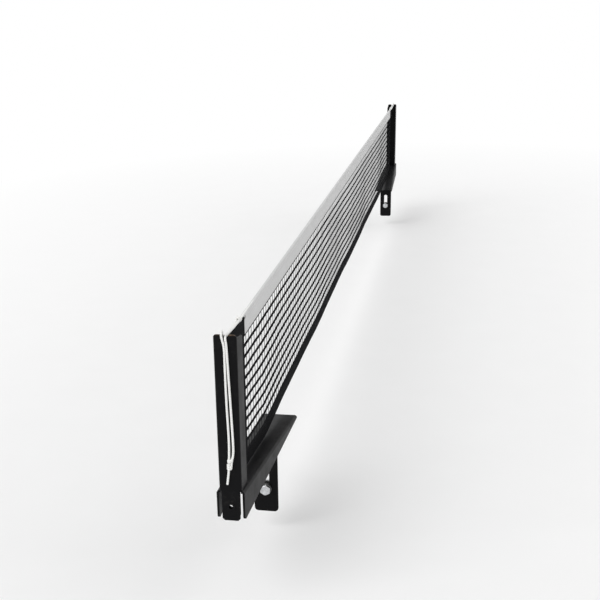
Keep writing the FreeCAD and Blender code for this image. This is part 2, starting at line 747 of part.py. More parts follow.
# Placing and writing


def net_cord():
    """One cord from the near knot through the tape to the far knot."""
    near = [(x, y - HALF_SPAN, z) for x, y, z in net_cord_points()]
    far = [(-x, -y, z) for x, y, z in near]
    return tube("net_cord", list(reversed(near)) + far, CORD_RADIUS)


def to_near(shape):
    return shape.translated(vec(0, -HALF_SPAN, 0))


def to_far(shape):
    moved = to_near(shape)
    return moved.rotated(vec(0, 0, 0), vec(0, 0, 1), 180)


def write(node, shapes):
    solids = [s for shape in shapes for s in shape.Solids]
    shape = solids[0] if len(solids) == 1 else Part.makeCompound(solids)
    for solid in solids:
        if not solid.isValid():
            print("INVALID", node)
    shape.exportStep("parts/%s.step" % node)
    print("%-20s %d solid(s) %9.1f mm3" % (node, len(solids), sum(s.Volume for s in solids)))


def main():
    os.makedirs("parts", exist_ok=True)
    clamp = {
        "arm": [arm()],
        "mount_angle": [mount_angle()],
        "post": [post()],
        "post_rivet": [rivet()],
        "bolt": [bolt()],
        "washers": washers(),
        "nut": [nut()],
        "end_band": [end_band()],
        "corner_patch": [corner_patch()],
        "tie_cord": [tube("tie_cord", tie_cord_points(), CORD_RADIUS)],
        "front_knot": [front_knot()],
        "net_knot": [net_knot()],
    }
    for end, place in (("near", to_near), ("far", to_far)):
        for name, shapes in clamp.items():
            write("%s_%s" % (end, name), [place(s) for s in shapes])
    write("net_mesh", [mesh()])
    write("top_tape", [tape()])
    write("net_cord", [net_cord()])
    write("lower_hem", [lower_hem()])


main()
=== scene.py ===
# %% [markdown]
# # A table tennis net between two bolt-on clamps
#
# The model is a net with a clamp at each end. The sheet steel clamps come finished from the CAD model.
# Everything soft is made here: the braided cords and their knots, the white tape, the black borders and the
# knotted mesh. Each step says what the piece is on the real object, how it could be made, and why it is made
# the way it is.

# %% Load the frame
import math

import bpy
import numpy as np
from mathutils import Matrix


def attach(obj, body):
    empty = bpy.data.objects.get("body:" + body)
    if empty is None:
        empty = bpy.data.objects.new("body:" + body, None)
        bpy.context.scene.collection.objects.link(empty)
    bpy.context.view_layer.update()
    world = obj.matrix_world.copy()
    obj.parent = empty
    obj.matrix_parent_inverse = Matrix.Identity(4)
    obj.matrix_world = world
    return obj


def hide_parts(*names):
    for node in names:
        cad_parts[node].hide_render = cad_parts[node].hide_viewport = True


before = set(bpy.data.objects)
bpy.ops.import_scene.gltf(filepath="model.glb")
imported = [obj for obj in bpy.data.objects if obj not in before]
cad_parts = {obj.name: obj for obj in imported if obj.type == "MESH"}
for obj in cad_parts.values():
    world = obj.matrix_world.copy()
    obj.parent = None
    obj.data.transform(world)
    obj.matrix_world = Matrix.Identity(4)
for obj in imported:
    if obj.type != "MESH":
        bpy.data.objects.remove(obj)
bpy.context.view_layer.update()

# %% [markdown]
# ## Sizes
#
# The net is drawn in millimetres, because its sizes are easy to picture that way: 1830 mm between the posts
# and 152.5 mm up to the top of the tape. One helper turns them into metres. A clamp is described once, with
# distances counted inwards from the outer face of its post. The far clamp is the same one turned half a turn,
# so its points only change the sign of X and Y.

# %% Sizes and places
HALF_SPAN = 915.0
CORD_LEVEL = 150.5
CORD_RADIUS = 1.0
TAPE_FOOT = 132.5
TAPE_START = 75.0
MESH_START = 70.0
BORDER_START = 62.0
BORDER_HEIGHT = 13.3
END_BORDER_WIDTH = 8.0
BEAD_RADIUS = 2.0
ARM_CLEARANCE = 1.2
ARM_FRONT_TOP = 14.7
ARM_FALL = 0.1042
FLOOR_LEVEL = -0.107


def at_near(points):
    """Points of the near clamp in the object's frame, in metres: Y is moved out by half the net's span."""
    points = np.asarray(points, float)
    return (points - [0.0, HALF_SPAN, 0.0]) / 1000.0


def at_far(points):
    """The same points at the far clamp: turned half a turn about Z."""
    return at_near(points) * [-1.0, -1.0, 1.0]


ENDS = {"near": at_near, "far": at_far}

# %% [markdown]
# ## Camera
#
# The photograph looks down at the clamp from just outside the table's edge, along the net. The net has known
# lengths, so the place and direction of the camera can be worked out from where its corners are in the
# picture. The small shift stands for a picture that was cut out of a wider one.

# %% Camera
CAMERA_PLACE = (0.1893, -1.6958, 0.4148)
CAMERA_RIGHT = (0.97638, 0.21338, -0.03398)
CAMERA_UP = (-0.04410, 0.35071, 0.93544)
CAMERA_BACK = (0.21152, -0.91184, 0.35184)

camera_data = bpy.data.cameras.new("camera")
camera_data.lens = 61.9
camera_data.sensor_width = 36.0
camera_data.shift_x = 0.107
camera_data.shift_y = 0.141
camera_data.clip_end = 100.0
camera = bpy.data.objects.new("camera", camera_data)
bpy.context.collection.objects.link(camera)
columns = np.array([CAMERA_RIGHT, CAMERA_UP, CAMERA_BACK, CAMERA_PLACE]).T
camera.matrix_world = Matrix(columns.tolist() + [[0.0, 0.0, 0.0, 1.0]])
bpy.context.scene.camera = camera
print("camera lens", camera_data.lens, "mm at", CAMERA_PLACE)

# %% [markdown]
# ## One helper for every skin
#
# A cord, a tape and a border are all the same thing to a modeller: an outline carried along a line. So one
# helper covers rings of points with faces. It takes any number of strips at once, which is how a net with
# more than a hundred cords stays one quick step. The ends are closed, and the faces are turned round when the
# volume that they enclose comes out negative, so they always point outwards.

# %% Cover rings of points with faces
PIECES = {}


def corner_numbers(strips, stations, around):
    """Point numbers of the quads of closed strips: each joins a point, the next one round and both of the next ring."""
    strip, row, column = np.meshgrid(np.arange(strips), np.arange(stations - 1), np.arange(around), indexing="ij")
    base = (strip * stations + row) * around
    turn = (column + 1) % around
    quads = np.stack([base + column, base + turn, base + around + turn, base + around + column], axis=-1)
    return quads.reshape(-1, 4), row.ravel(), column.ravel(), strip.ravel()


def enclosed_volume(points, quads):
    """Sum over the faces of a corner's place times the face's area vector, over three."""
    a, b, c, d = (points[quads[:, i]] for i in range(4))
    return float((a * np.cross(c - a, d - b)).sum() / 6.0)


def make_piece(name, rings, across=None, along=None, sharp=40.0):
    """Object from rings of points in metres, shaped (strips, stations, around, 3), with a UV map in metres."""
    rings = np.asarray(rings, float)
    strips, stations, around = rings.shape[:3]
    points = rings.reshape(-1, 3)
    quads, row, column, strip = corner_numbers(strips, stations, around)
    if across is None:
        step = np.linalg.norm(np.diff(rings[0, stations // 2], axis=0, append=rings[0, stations // 2, :1]), axis=1)
        across = np.r_[0.0, np.cumsum(step)]
    if along is None:
        middle = rings.mean(axis=2)
        step = np.linalg.norm(np.diff(middle, axis=1), axis=2)
        along = np.concatenate([np.zeros((strips, 1)), np.cumsum(step, axis=1)], axis=1)
    u = np.stack([across[column], across[column + 1], across[column + 1], across[column]], axis=1)
    v = np.stack([along[strip, row], along[strip, row], along[strip, row + 1], along[strip, row + 1]], axis=1)
    # each end is closed by a fan of triangles round its middle point
    first = (np.arange(strips) * stations * around)[:, None] + np.arange(around)[None, :]
    last = first + (stations - 1) * around
    middles = np.concatenate([rings[:, 0].mean(axis=1), rings[:, -1].mean(axis=1)])
    heart = len(points) + np.arange(2 * strips)
    fans = []
    for ring, centre, order in ((first, heart[:strips], -1), (last, heart[strips:], 1)):
        pair = (ring, np.roll(ring, -1, axis=1))[::order]
        fans.append(np.stack([np.repeat(centre[:, None], around, axis=1), pair[0], pair[1]], axis=-1).reshape(-1, 3))
    fans = np.concatenate(fans)
    fan_uv = np.zeros((len(fans), 3, 2))
    if enclosed_volume(points, quads) < 0:
        quads, u, v, fans = quads[:, ::-1], u[:, ::-1], v[:, ::-1], fans[:, ::-1]
    mesh = bpy.data.meshes.new(name)
    mesh.from_pydata(np.concatenate([points, middles]).tolist(), [], quads.tolist() + fans.tolist())
    layer = mesh.uv_layers.new(name="metres")
    quad_uv = np.stack([u, v], axis=-1)
    layer.data.foreach_set("uv", np.concatenate([quad_uv.reshape(-1), fan_uv.reshape(-1)]))
    mesh.polygons.foreach_set("use_smooth", np.ones(len(mesh.polygons), bool))
    mesh.set_sharp_from_angle(angle=math.radians(sharp))
    mesh.update()
    piece = bpy.data.objects.new(name, mesh)
    bpy.context.collection.objects.link(piece)
    PIECES[name] = piece
    print("%-24s %6d faces" % (name, len(mesh.polygons)))
    return piece


# %% [markdown]
# ## A round section along a line
#
# To carry a circle along a line, each point of the line needs two directions square to it. The lines here
# never run along X, so X crossed with the line's direction always gives a good first one, and no ring turns
# against the next.

# %% Rings along a line
def directions(path):
    """Unit direction, and two unit directions square to it, at each point of the lines in an array (..., points, 3)."""
    ahead = np.gradient(path, axis=-2)
    ahead /= np.linalg.norm(ahead, axis=-1, keepdims=True)
    side = np.cross([1.0, 0.0, 0.0], ahead)
    side /= np.linalg.norm(side, axis=-1, keepdims=True)
    return ahead, side, np.cross(ahead, side)


def round_rings(path, radius, around):
    """Point on the line plus radius times (cosine x side + sine x up). The radius may differ at each point."""
    _, side, up = directions(path)
    angle = np.linspace(0.0, 2.0 * math.pi, around, endpoint=False)
    spoke = side[..., None, :] * np.cos(angle)[:, None] + up[..., None, :] * np.sin(angle)[:, None]
    return path[..., None, :] + spoke * np.broadcast_to(radius, path.shape[:-1] + (around,))[..., None]


# %% [markdown]
# ## Cords
#
# One cord of 2 mm braid runs through the tape from clamp to clamp. At each end it comes out of the tape,
# goes through the notch in the post's top edge, down the post's face and through a knot. A short tie cord
# starts at a knot beside the tape, makes a small loop over the post's top edge and comes down beside the
# first one. A smooth spline through a few points is the right tool for such a line. Points sampled by hand
# would look like bent wire.

# %% Routes of the cords
NET_CORD_END = [(0.0, 60.0, 150.5), (0.5, 5.0, 154.6), (0.7, -1.7, 154.9), (1.7, -1.6, 148.4), (2.0, -1.5, 136.2),
                (4.4, -1.5, 61.0), (4.3, -2.4, 49.5), (2.5, -2.7, 43.7), (2.2, -2.7, 38.9)]
TIE_CORD = [(-2.1, 57.0, 151.9), (-2.0, 46.0, 151.0), (-1.6, 14.0, 152.3), (-2.2, 3.0, 153.8), (-2.5, 3.0, 159.4),
            (-2.5, -1.5, 159.4), (-2.3, -1.6, 154.7), (-0.1, -1.6, 146.7), (-0.3, -1.5, 133.2), (-0.1, -1.5, 97.0),
            (0.9, -1.5, 61.0), (0.75, -2.7, 51.5), (0.3, -2.7, 36.9), (-1.9, -2.2, 22.0)]


def spline_line(name, points):
    """Points along a NURBS spline of order 3 that has the route's points as its control points."""
    curve = bpy.data.curves.new(name, "CURVE")
    curve.dimensions = "3D"
    spline = curve.splines.new("NURBS")
    spline.points.add(len(points) - 1)
    spline.points.foreach_set("co", np.column_stack([points, np.ones(len(points))]).ravel())
    spline.order_u = 3
    spline.use_endpoint_u = True
    spline.resolution_u = 24
    route = bpy.data.objects.new(name, curve)
    mesh = bpy.data.meshes.new_from_object(route)
    line = np.empty(len(mesh.vertices) * 3)
    mesh.vertices.foreach_get("co", line)
    bpy.data.objects.remove(route)
    return line.reshape(-1, 3)


def spaced(line, fine, coarse, ends):
    """The same line with even steps: fine within a length from its ends, coarse between them."""
    step = np.linalg.norm(np.diff(line, axis=0), axis=1)
    place = np.r_[0.0, np.cumsum(step)]
    whole = place[-1]
    if whole > 2 * ends:
        a = np.arange(0.0, ends, fine)
        b = np.arange(ends, whole - ends, coarse)
        at = np.r_[a, b, whole - a[::-1]]
    else:
        at = np.linspace(0.0, whole, int(whole / fine))
    return np.stack([np.interp(at, place, line[:, axis]) for axis in range(3)], axis=1), at, whole


net_route = np.concatenate([at_near(NET_CORD_END)[::-1], at_far(NET_CORD_END)])
ROUTES = {"net_cord": net_route, "near_tie_cord": at_near(TIE_CORD), "far_tie_cord": at_far(TIE_CORD)}
LINES = {name: spaced(spline_line(name, route), 0.00035, 0.006, 0.235) for name, route in ROUTES.items()}
for name, (line, at, whole) in LINES.items():
    print("%-16s %.4f m, %d stations" % (name, whole, len(line)))

# %% [markdown]
# ## The braid
#
# Braided cord is a tube of yarns that climb to the left and to the right and pass over each other. Modelling
# each yarn would take hundreds of curves. The surface alone does as well at this size: two families of
# slanting ridges, where the higher one shows. The relief is in the radius of the tube, so it also shows on
# the cord's outline.

# %% Braided cords
BRAID_PITCH = 0.0062
BRAID_YARNS = 8
BRAID_RELIEF = 0.10


def braid_relief(angle, place):
    """Height from 0 to 1: the larger of two ridged waves, one climbing left and one climbing right."""
    climb = 2.0 * math.pi * place / BRAID_PITCH
    left = np.abs(np.cos(0.5 * BRAID_YARNS * angle + climb))
    right = np.abs(np.cos(0.5 * BRAID_YARNS * angle - climb))
    over = 0.5 + 0.5 * np.sign(np.sin(BRAID_YARNS * 0.5 * angle) * np.sin(2.0 * climb))
    return np.maximum(left * (0.82 + 0.18 * over), right * (1.0 - 0.18 * over)) ** 1.5


def braided(name, line, place, around=28, radius=CORD_RADIUS / 1000.0):
    """Tube round the line: the radius is the cord's, times one less the relief's part, plus the relief."""
    angle = np.linspace(0.0, 2.0 * math.pi, around, endpoint=False)
    height = braid_relief(angle[None, :], place[:, None])
    rings = round_rings(line, radius * (1.0 - BRAID_RELIEF * (1.0 - height)), around)
    across = np.linspace(0.0, 2.0 * math.pi * radius, around + 1)
    return make_piece(name, rings[None], across, place[None, :], sharp=180.0)


for name, (line, place, whole) in LINES.items():
    braided(name + "_braid", line, place)

# %% [markdown]
# ## Knots
#
# A knot is the same cord wound round the others. Two and a half turns of a helix with an oval shape, leaning a
# little, read as a knot from every side. The real knot has more turns inside, which nobody sees.

# %% Wound knots
def winding(centre, half_x, half_y, height, turns, lean, phase=0.4):
    """Helix: an oval of two half widths that climbs by its height over all turns, and leans as it goes round."""
    t = np.linspace(0.0, 2.0 * math.pi * turns, int(110 * turns))
    inward = 1.0 - 0.5 * np.exp(-((t / 0.5) ** 2)) - 0.5 * np.exp(-(((t[-1] - t) / 0.5) ** 2))
    x = half_x * np.cos(t + phase) * inward
    y = half_y * np.sin(t + phase) * inward
    z = height * (t / t[-1] - 0.5) + lean * np.cos(t + phase + 0.7)
    return np.stack([x, y, z], axis=1) + centre


def strand_rings(path, radius, around=18):
    """Rings of a short strand that may turn any way: the second direction comes from the strand's own bend."""
    ahead = np.gradient(path, axis=0)
    ahead /= np.linalg.norm(ahead, axis=1, keepdims=True)
    outward = path - path.mean(axis=0)
    side = np.cross(ahead, outward)
    side /= np.linalg.norm(side, axis=1, keepdims=True)
    up = np.cross(side, ahead)
    place = np.r_[0.0, np.cumsum(np.linalg.norm(np.diff(path, axis=0), axis=1))]
    angle = np.linspace(0.0, 2.0 * math.pi, around, endpoint=False)
    height = braid_relief(angle[None, :], place[:, None] / 1000.0)
    spoke = side[:, None, :] * np.cos(angle)[:, None] + up[:, None, :] * np.sin(angle)[:, None]
    return path[:, None, :] + spoke * (radius * (1.0 - BRAID_RELIEF * (1.0 - height)))[..., None]


def knot_piece(name, windings, place):
    """One piece from windings of the same number of points, with its UV map in metres of cord."""
    rings = np.stack([strand_rings(path, 0.98 * CORD_RADIUS) for path in windings])
    across = np.linspace(0.0, 2.0 * math.pi * CORD_RADIUS / 1000.0, rings.shape[2] + 1)
    return make_piece(name, place(rings), across, sharp=180.0)


upper_knot = winding((1.5, -2.7, 44.8), 1.65, 1.6, 2.4, 2.5, 0.35)
lower_knot = winding((0.75, -2.7, 39.0), 1.4, 1.6, 4.2, 2.5, -0.4, 2.0)
# the knot at the net is wound about the net's cord, so height and depth change places
around_cord = winding((0.0, 0.0, 0.0), 1.85, 1.85, 3.2, 2.5, 0.4)[:, [0, 2, 1]] + (-0.7, 58.0, 152.3)
for end, place in ENDS.items():
    knot_piece(end + "_front_knot_turns", [upper_knot, lower_knot], place)
    knot_piece(end + "_net_knot_turns", [around_cord], place)

# %% [markdown]
# ## The slack of the net
#
# A net is tight along its cord and a little slack below it. A few long waves, nil at the cord and at the
# clamps, move the tape, the mesh and the lower border sideways by the same amount, so they stay together.

# %% Sideways waves of the net
def slack(y, z):
    """Millimetres sideways: three sines along the net, times how deep the point hangs and how far it is from an end."""
    inside = np.clip((HALF_SPAN - 80.0 - np.abs(y)) / 160.0, 0.0, 1.0)
    depth = np.clip((CORD_LEVEL - z) / 90.0, 0.0, 1.0)
    wave = 0.5 * np.sin(y / 71.0 + 0.6) + 0.15 * np.sin(y / 29.5 + 2.1) + 0.05 * np.sin(y / 11.3)
    return wave * depth * inside * inside * (3.0 - 2.0 * inside)


def border_foot(y):
    """Level of the net's lower edge: nil, and beside a clamp the arm's sloping top plus 1.2 mm where that is higher."""
    return np.maximum(0.0, ARM_FRONT_TOP - ARM_FALL * (HALF_SPAN - np.abs(y)) + ARM_CLEARANCE)


def swept(name, section, y, foot, head, sharp=40.0):
    """Band along the net. A section point is (sideways mm, height from 0 at the foot to 1 at the head)."""
    x = np.broadcast_to(section[None, :, 0], (len(y), len(section)))
    z = foot[:, None] + section[None, :, 1] * (head - foot)[:, None]
    rings = np.stack([x + slack(y[:, None], z), np.broadcast_to(y[:, None], z.shape), z], axis=-1) / 1000.0
    return make_piece(name, rings[None], sharp=sharp)


# %% [markdown]
# ## White tape
#
# The tape is a band of woven cotton folded over the cord and sewn twice: once under the cord, which makes a
# round bead along the top, and once along the lower edge, where the mesh is held between the layers. The
# thread pulls the layers together, so the section is a little thinner at the seams. A section carried along
# the net says all that. A cloth simulation would only make the same shape more slowly.

# %% Tape
SEAMS = (136.0, 147.4)


def tape_section():
    """Up one side of the band and round the bead, then the same mirrored. The half thickness dips at each seam."""
    levels = np.r_[132.5, 132.62, 133.0, 133.8, 134.8, 135.5, 135.8, 136.0, 136.2, 136.5, 137.4, 139.5, 142.0, 144.5,
                   146.2, 146.9, 147.2, 147.4, 147.6, 147.9, 148.35]
    half = np.full(len(levels), 0.78)
    half -= sum(0.22 * np.exp(-(((levels - seam) / 0.33) ** 2)) for seam in SEAMS)
    half += 0.1 * np.exp(-(((levels - 134.2) / 1.1) ** 2))
    half[0], half[1], half[2] = 0.35, 0.62, 0.76
    sweep = np.radians(np.linspace(27.0, 180.0, 12))
    bead_x, bead_z = BEAD_RADIUS * np.sin(sweep), CORD_LEVEL - BEAD_RADIUS * np.cos(sweep)
    right = np.column_stack([np.r_[half, bead_x], np.r_[levels, bead_z]])
    left = right[-2::-1] * [-1.0, 1.0]
    return np.concatenate([right, left])


tape_reach = HALF_SPAN - TAPE_START
tape_y = np.linspace(-tape_reach, tape_reach, 561)
tape_foot = np.full(len(tape_y), TAPE_FOOT)
tape_head = np.full(len(tape_y), CORD_LEVEL + BEAD_RADIUS)
outline = tape_section()
outline[:, 1] = (outline[:, 1] - TAPE_FOOT) / (CORD_LEVEL + BEAD_RADIUS - TAPE_FOOT)
swept("tape_band", outline, tape_y, tape_foot, tape_head)

# %% [markdown]
# ## Stitches
#
# Up close the seams are rows of short stitches. Each one is a small spindle, and all of them are one mesh,
# made from one spindle and a list of places.

# %% Stitches of the tape
STITCH_LENGTH = 2.5
STITCH_PITCH = 3.3


def spindles(name, places, length, thick, sharp=180.0):
    """Spindles along Y: rings of radius 0.55, 1 and 0.55 at -0.8, 0 and 0.8 of half the length, in millimetres."""
    t = np.array([-0.8, 0.0, 0.8]) * length / 2.0
    radius = np.array([0.55, 1.0, 0.55]) * thick / 2.0
    angle = np.linspace(0.0, 2.0 * math.pi, 5, endpoint=False)
    ring = np.stack([radius[:, None] * np.cos(angle), np.broadcast_to(t[:, None], (3, 5)),
                     radius[:, None] * np.sin(angle)], axis=-1)
    return make_piece(name, (places[:, None, None, :] + ring[None]) / 1000.0, sharp=sharp)


stitch_y = np.arange(-tape_reach + 3.0, tape_reach - 2.0, STITCH_PITCH)
rows = []
for seam in SEAMS:
    for side in (-1.0, 1.0):
        shift = 0.0 if side > 0 else STITCH_PITCH / 2.0
        y = stitch_y + shift
        rows.append(np.column_stack([side * 0.62 + slack(y, seam), y, np.full(len(y), seam)]))
spindles("tape_stitches", np.concatenate(rows), STITCH_LENGTH, 0.42)

# %% [markdown]
# ## Black borders
#
# A folded band of black webbing closes the net below and at both ends, and a patch of the same webbing
# carries the tape's corner on into the post's channel, under the cord. They are thin folded bands like the
# tape, so the same helpers make them.

# %% Lower border, end borders and corner patches
def flat_section(thick, seams, steps=26):
    """Folded band: half a thickness out, rounded at both edges by a root of the distance, thinner at each seam."""
    t = 0.5 - 0.5 * np.cos(np.linspace(0.0, math.pi, steps))
    edge = np.clip(np.minimum(t, 1.0 - t) / 0.06, 0.0, 1.0)
    half = 0.5 * thick * (0.25 + 0.75 * np.sqrt(edge * (2.0 - edge)))
    half = half * (1.0 - sum(0.3 * np.exp(-(((t - seam) / 0.03) ** 2)) for seam in seams))
    right = np.column_stack([half, t])
    return np.concatenate([right, right[::-1] * [-1.0, 1.0]])


# the border's lower edge has a kink where it leaves the arm's sloping top, so it gets a ring there
BORDER_KINK = 762.5
border_reach = HALF_SPAN - BORDER_START
border_y = np.unique(np.r_[np.linspace(-border_reach, border_reach, 421), -BORDER_KINK, BORDER_KINK])
foot = border_foot(border_y)
swept("lower_border", flat_section(1.8, (0.82,)), border_y, foot, foot + BORDER_HEIGHT)


def cord_line(y):
    """Level of the cord's middle from the notch down to where it enters the tape, y counted from the post."""
    return CORD_LEVEL + 4.2 * np.clip((60.0 - y) / 60.0, 0.0, 1.0)


def end_border(end, place):
    """Upright band: the flat section lies across the net and is carried up from the lower border to the tape."""
    section = flat_section(2.2, (0.8,), 16)
    foot_level = border_foot(HALF_SPAN - BORDER_START - END_BORDER_WIDTH / 2.0) + BORDER_HEIGHT - 0.3
    z = np.linspace(foot_level, TAPE_FOOT, 60)
    swell = 1.0 + 0.05 * np.sin(z / 4.1) + 0.04 * np.sin(z / 1.7 + 1.0)
    x = section[None, :, 0] * swell[:, None]
    y = BORDER_START + END_BORDER_WIDTH * section[None, :, 1] + 0.12 * np.sin(z / 6.0)[:, None]
    rings = np.stack([x, y, np.broadcast_to(z[:, None], x.shape)], axis=-1)
    return make_piece(end + "_end_border", place(rings)[None])


PATCH_GAP = 1.2


def corner_patch(end, place):
    """Flat band that narrows: foot at the tape's lower edge, head just below the cord, from the channel to the tape."""
    section = flat_section(1.2, (0.12, 0.86), 22)
    y = np.linspace(8.0, 75.0, 50)
    head = cord_line(y) - PATCH_GAP
    z = TAPE_FOOT + section[None, :, 1] * (head - TAPE_FOOT)[:, None]
    x = section[None, :, 0] + (0.25 * np.sin(y / 7.0) * np.sin((y - 8.0) / 67.0 * math.pi))[:, None]
    rings = np.stack([x, np.broadcast_to(y[:, None], z.shape), z], axis=-1)
    return make_piece(end + "_corner_webbing", place(rings)[None])


for end, place in ENDS.items():
    end_border(end, place)
    corner_patch(end, place)

# %% [markdown]
# ## Mesh
#
# The mesh is thin knotted cord with openings about 12 mm wide and 11 mm high. Twelve cords run along the net
# and 142 across it. Each is a line with small errors at the knots, because no net is perfect, and the cords
# bow a little between knots. All the lines of one family are one array, so the whole net is two calls.

# %% Mesh cords
ROWS = 11
COLUMNS = 141
ALONG_RADIUS = 1.1
ACROSS_RADIUS = 0.29
random = np.random.default_rng(7)
mesh_reach = HALF_SPAN - MESH_START
knot_y = np.linspace(-mesh_reach, mesh_reach, COLUMNS + 1)[None, :] + random.normal(0.0, 0.22, (ROWS + 1, COLUMNS + 1))
knot_y[:, 0], knot_y[:, -1] = -mesh_reach, mesh_reach
share = np.linspace(0.0, 1.0, ROWS + 1)[:, None]
low = border_foot(knot_y) + BORDER_HEIGHT
knot_z = low + (TAPE_FOOT - low) * share + random.normal(0.0, 0.2, knot_y.shape) * (share > 0) * (share < 1)


def between(values, steps, bow):
    """Fills in each gap of the last axis with steps: straight from knot to knot, plus a bow that is a half sine."""
    t = np.arange(steps) / steps
    filled = values[..., :-1, None] * (1.0 - t) + values[..., 1:, None] * t + bow * np.sin(math.pi * t)
    return np.concatenate([filled.reshape(values.shape[:-1] + (-1,)), values[..., -1:]], axis=-1)


def net_cords(name, y, z, radius, around=5):
    """Thin tubes along lines in the net's plane, moved sideways with the slack."""
    path = np.stack([slack(y, z), y, z], axis=-1) / 1000.0
    return make_piece(name, round_rings(path, radius / 1000.0, around), sharp=180.0)


net_cords("mesh_along", between(knot_y, 3, 0.0), between(knot_z, 3, -0.22), ALONG_RADIUS)
net_cords("mesh_across", between(knot_y.T, 2, 0.12), between(knot_z.T, 2, 0.0), ACROSS_RADIUS)

# %% [markdown]
# At each crossing the cords are knotted. A small round lump with six sides is enough there.

# %% Mesh knots
inner = (slice(1, -1), slice(None))
crossings = np.column_stack([slack(knot_y, knot_z)[inner].ravel(), knot_y[inner].ravel(), knot_z[inner].ravel()])
spindles("mesh_knots", crossings, 2.6, 2.5)

# %% [markdown]
# ## Powder coat
#
# The clamps are coated black: semi-gloss, with the fine uneven skin that powder coat has. The colour is
# nearly black everywhere, so the finish lives in its gloss. Noise at about a millimetre bends the
# highlights, and a slower noise changes how sharp they are. Handling leaves faint dull marks. Along the post's
# top edge a lighter brown is a painted highlight of the edge lit from above, partly also wear from the cords.

# %% Node helpers
def new_material(name):
    material = bpy.data.materials.new(name)
    material.use_nodes = True
    return material, material.node_tree.nodes, material.node_tree.links, material.node_tree.nodes["Principled BSDF"]


def node(nodes, kind, **settings):
    made = nodes.new(kind)
    for key, value in settings.items():
        if key in made.inputs:
            made.inputs[key].default_value = value
        else:
            setattr(made, key, value)
    return made


def noise(nodes, links, place, scale, detail=2.0, roughness=0.5):
    made = node(nodes, "ShaderNodeTexNoise", Scale=scale, Detail=detail, Roughness=roughness)
    links.new(place, made.inputs["Vector"])
    return made.outputs["Fac"]


def spread(nodes, links, value, low, high, from_low=0.3, from_high=0.7):
    """Value moved from one range to another, and held inside it."""
    made = node(nodes, "ShaderNodeMapRange", clamp=True)
    for key, number in (("From Min", from_low), ("From Max", from_high), ("To Min", low), ("To Max", high)):
        made.inputs[key].default_value = number
    links.new(value, made.inputs["Value"])
    return made.outputs["Result"]


def maths(nodes, links, operation, a, b=None):
    made = node(nodes, "ShaderNodeMath", operation=operation)
    for socket, value in zip(made.inputs, (a, b)):
        if value is None:
            continue
        if isinstance(value, (int, float)):
            socket.default_value = value
        else:
            links.new(value, socket)
    return made.outputs["Value"]


def blend_colours(nodes, links, factor, first, second):
    made = node(nodes, "ShaderNodeMix", data_type="RGBA")
    made.inputs["A"].default_value = (*first, 1.0)
    made.inputs["B"].default_value = (*second, 1.0)
    links.new(factor, made.inputs["Factor"])
    return made.outputs["Result"]


def bumped(nodes, links, shader, height, distance, strength=1.0, below=None):
    made = node(nodes, "ShaderNodeBump", Strength=strength, Distance=distance)
    links.new(height, made.inputs["Height"])
    if below is not None:
        links.new(below, made.inputs["Normal"])
    links.new(made.outputs["Normal"], shader.inputs["Normal"])
    return made.outputs["Normal"]


# %% Powder coat
def powder_coat():
    material, nodes, links, shader = new_material("black_powder_coat")
    place = node(nodes, "ShaderNodeTexCoord").outputs["Object"]
    marks = noise(nodes, links, place, 38.0, 6.0, 0.62)
    scuffs = noise(nodes, links, place, 210.0, 4.0, 0.7)
    worn = maths(nodes, links, "MULTIPLY", spread(nodes, links, marks, 0.0, 1.0, 0.52, 0.7),
                 spread(nodes, links, scuffs, 0.0, 1.0, 0.45, 0.62))
    coat = blend_colours(nodes, links, worn, (0.004, 0.004, 0.0045), (0.016, 0.0155, 0.015))
    # painted highlight: the post's top edge, 156.5 mm above the table, is painted a lighter brown where light falls
    # from above, partly also wear where the cords rub the coat
    level = node(nodes, "ShaderNodeSeparateXYZ")
    links.new(place, level.inputs["Vector"])
    top_edge_highlight_and_wear = maths(nodes, links, "MULTIPLY", spread(nodes, links, level.outputs["Z"], 0.0, 1.0, 0.1556, 0.1564),
                   spread(nodes, links, scuffs, 0.2, 1.0, 0.4, 0.55))
    colour = node(nodes, "ShaderNodeMix", data_type="RGBA", B=(0.12, 0.075, 0.045, 1.0))
    links.new(top_edge_highlight_and_wear, colour.inputs["Factor"])
    links.new(coat, colour.inputs["A"])
    links.new(colour.outputs["Result"], shader.inputs["Base Color"])
    dull = maths(nodes, links, "MULTIPLY", worn, 0.12)
    gloss = maths(nodes, links, "ADD", spread(nodes, links, marks, 0.38, 0.48), dull)
    links.new(gloss, shader.inputs["Roughness"])
    skin = noise(nodes, links, place, 750.0, 2.0, 0.4)
    bumped(nodes, links, shader, skin, 0.00006, 0.5)
    shader.inputs["Specular IOR Level"].default_value = 0.08
    return material


POWDER_COAT = powder_coat()

# %% [markdown]
# ## Zinc plate
#
# The bolt and nut are steel with bright zinc, and the washers are of a dull dark kind. The plating is mottled
# on a small scale, and the faces show fine rings round the bolt's axis from being cut. The rings come from the
# distance to the axis, which is the same line for both bolts: X is nil and Z is 59 mm below the table.

# %% Zinc plate
RING_PITCH = 0.00045


